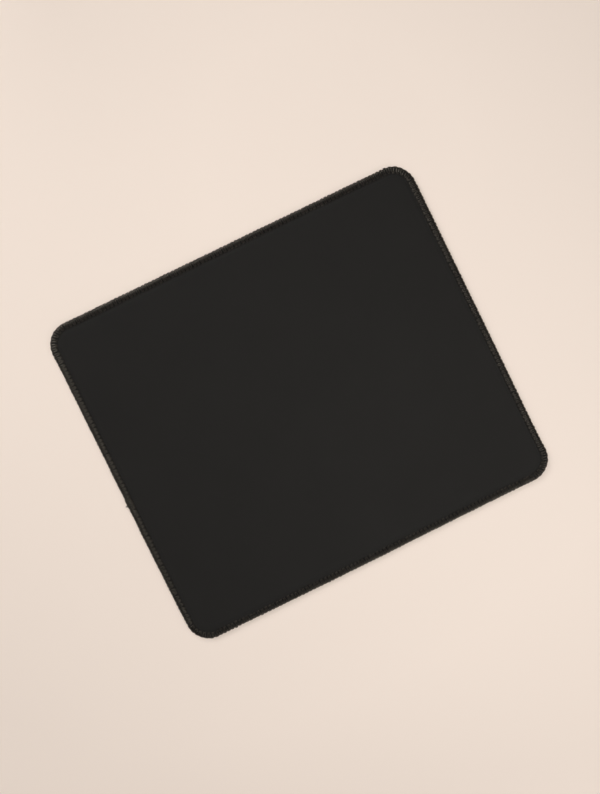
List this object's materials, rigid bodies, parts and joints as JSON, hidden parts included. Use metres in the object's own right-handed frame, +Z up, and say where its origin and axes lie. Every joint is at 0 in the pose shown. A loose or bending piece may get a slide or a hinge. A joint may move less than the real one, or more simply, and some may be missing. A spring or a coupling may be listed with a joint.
{
  "type": "mouse pad",
  "caption": "Flat rectangular cloth-faced rubber mouse pad with round corners and an overlocked thread edge, for a mouse to glide on.",
  "frame": {"origin": "on the desk, under the middle of the pad's box", "axes": "+X along the long sides, towards the side opposite the thread tail; +Y along the short sides; +Z up, out of the cloth face"},
  "size_m": [0.251, 0.217, 0.003],
  "materials": {
    "face_cloth": "fine dark charcoal polyester weave, matte",
    "hot_melt_film": "thin amber adhesive film, hidden between the layers",
    "sponge_rubber": "black sponge rubber with a moulded non-slip underside",
    "seam_thread": "black bulked polyester sewing yarn"
  },
  "bodies": {
    "root": {"top_cloth": "face_cloth", "bond_film": "hot_melt_film", "rubber_base": "sponge_rubber", "upper_looper_thread": "seam_thread", "lower_looper_thread": "seam_thread", "needle_thread": "seam_thread", "thread_tail": "seam_thread"}
  },
  "joints": []
}
